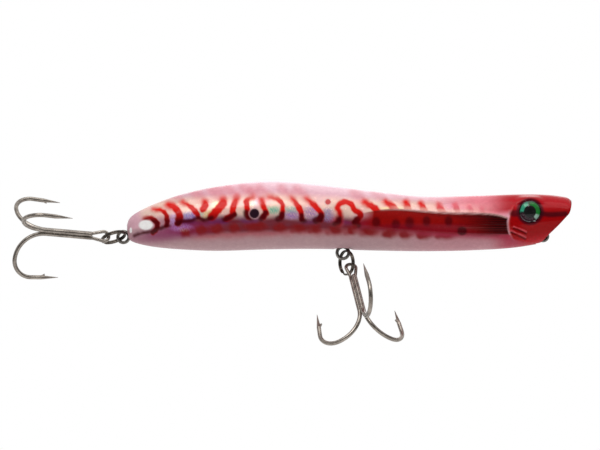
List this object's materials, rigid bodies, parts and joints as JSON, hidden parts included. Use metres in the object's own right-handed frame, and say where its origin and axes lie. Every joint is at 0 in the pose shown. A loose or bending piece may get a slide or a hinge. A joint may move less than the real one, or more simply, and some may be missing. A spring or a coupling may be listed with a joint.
{
  "type": "topwater popper lure",
  "caption": "Slim popper lure with a slanted cupped mouth, striped foil flanks, a wire line tie and treble hooks on split rings under the belly and tail.",
  "frame": {"origin": "the centre of the line tie's eye, under the mouth", "axes": "+X from tail to nose, +Z to the back, +Y to the lure's left flank"},
  "size_m": [0.1515, 0.0349, 0.0438],
  "materials": {
    "painted_shell": "clear-coated paint over foil, pink back and red stripes",
    "eye_foil": "printed green foil",
    "eye_resin": "clear domed resin",
    "hanger_wire": "plain stainless wire",
    "weight_metal": "turned steel",
    "tube_brass": "drawn",
    "ball_steel": "polished",
    "ring_steel": "dark nickel",
    "hook_nickel": "black nickel plate"
  },
  "bodies": {
    "lure_body": {"right_shell": "painted_shell", "left_shell": "painted_shell", "right_eye_disc": "eye_foil", "left_eye_disc": "eye_foil", "right_eye_dome": "eye_resin", "left_eye_dome": "eye_resin", "line_tie_wire": "hanger_wire", "belly_hanger_wire": "hanger_wire", "tail_hanger_wire": "hanger_wire", "tail_weight": "weight_metal", "belly_weight": "weight_metal", "transfer_tube": "tube_brass", "transfer_tube_cap": "tube_brass", "rattle_tube": "tube_brass", "rattle_tube_cap": "tube_brass"},
    "belly_ring": {"belly_split_ring": "ring_steel"},
    "belly_hook": {"belly_double_hook": "hook_nickel", "belly_single_hook": "hook_nickel"},
    "tail_ring": {"tail_split_ring": "ring_steel"},
    "tail_hook": {"tail_double_hook": "hook_nickel", "tail_single_hook": "hook_nickel"},
    "rear_ball": {"rear_transfer_ball": "ball_steel"},
    "front_ball": {"front_transfer_ball": "ball_steel"},
    "rattler": {"rattle_ball": "ball_steel"}
  },
  "joints": [
    {"name": "belly_ring_swing", "type": "hinge", "parent": "lure_body", "child": "belly_ring", "pos_m": [-0.05406, 0.00006, -0.00445], "axis": [-0.4641, 0.7198, -0.5162], "range_deg": [-30, 45]},
    {"name": "belly_hook_swing", "type": "hinge", "parent": "belly_ring", "child": "belly_hook", "pos_m": [-0.05314, -0.00131, -0.00719], "axis": [-0.8378, -0.5459, -0.008], "range_deg": [-75, 30]},
    {"name": "tail_ring_swing", "type": "hinge", "parent": "lure_body", "child": "tail_ring", "pos_m": [-0.11343, 0.00005, -0.00021], "axis": [-0.5125, 0.7255, -0.4594], "range_deg": [-60, 50]},
    {"name": "tail_hook_swing", "type": "hinge", "parent": "tail_ring", "child": "tail_hook", "pos_m": [-0.11601, -0.00184, -0.0003], "axis": [-0.2919, 0.3559, 0.8878], "range_deg": [-75, 80]},
    {"name": "rear_ball_roll", "type": "slide", "parent": "lure_body", "child": "rear_ball", "axis": [1, 0, 0], "range_m": [0, 0.0168]},
    {"name": "front_ball_roll", "type": "slide", "parent": "lure_body", "child": "front_ball", "axis": [1, 0, 0], "range_m": [0, 0.0168]},
    {"name": "rattle_ball_roll", "type": "slide", "parent": "lure_body", "child": "rattler", "axis": [1, 0, 0], "range_m": [0, 0.0093]}
  ],
  "couplings": [
    {"joint": "front_ball_roll", "follows": "rear_ball_roll", "ratio": 1}
  ]
}
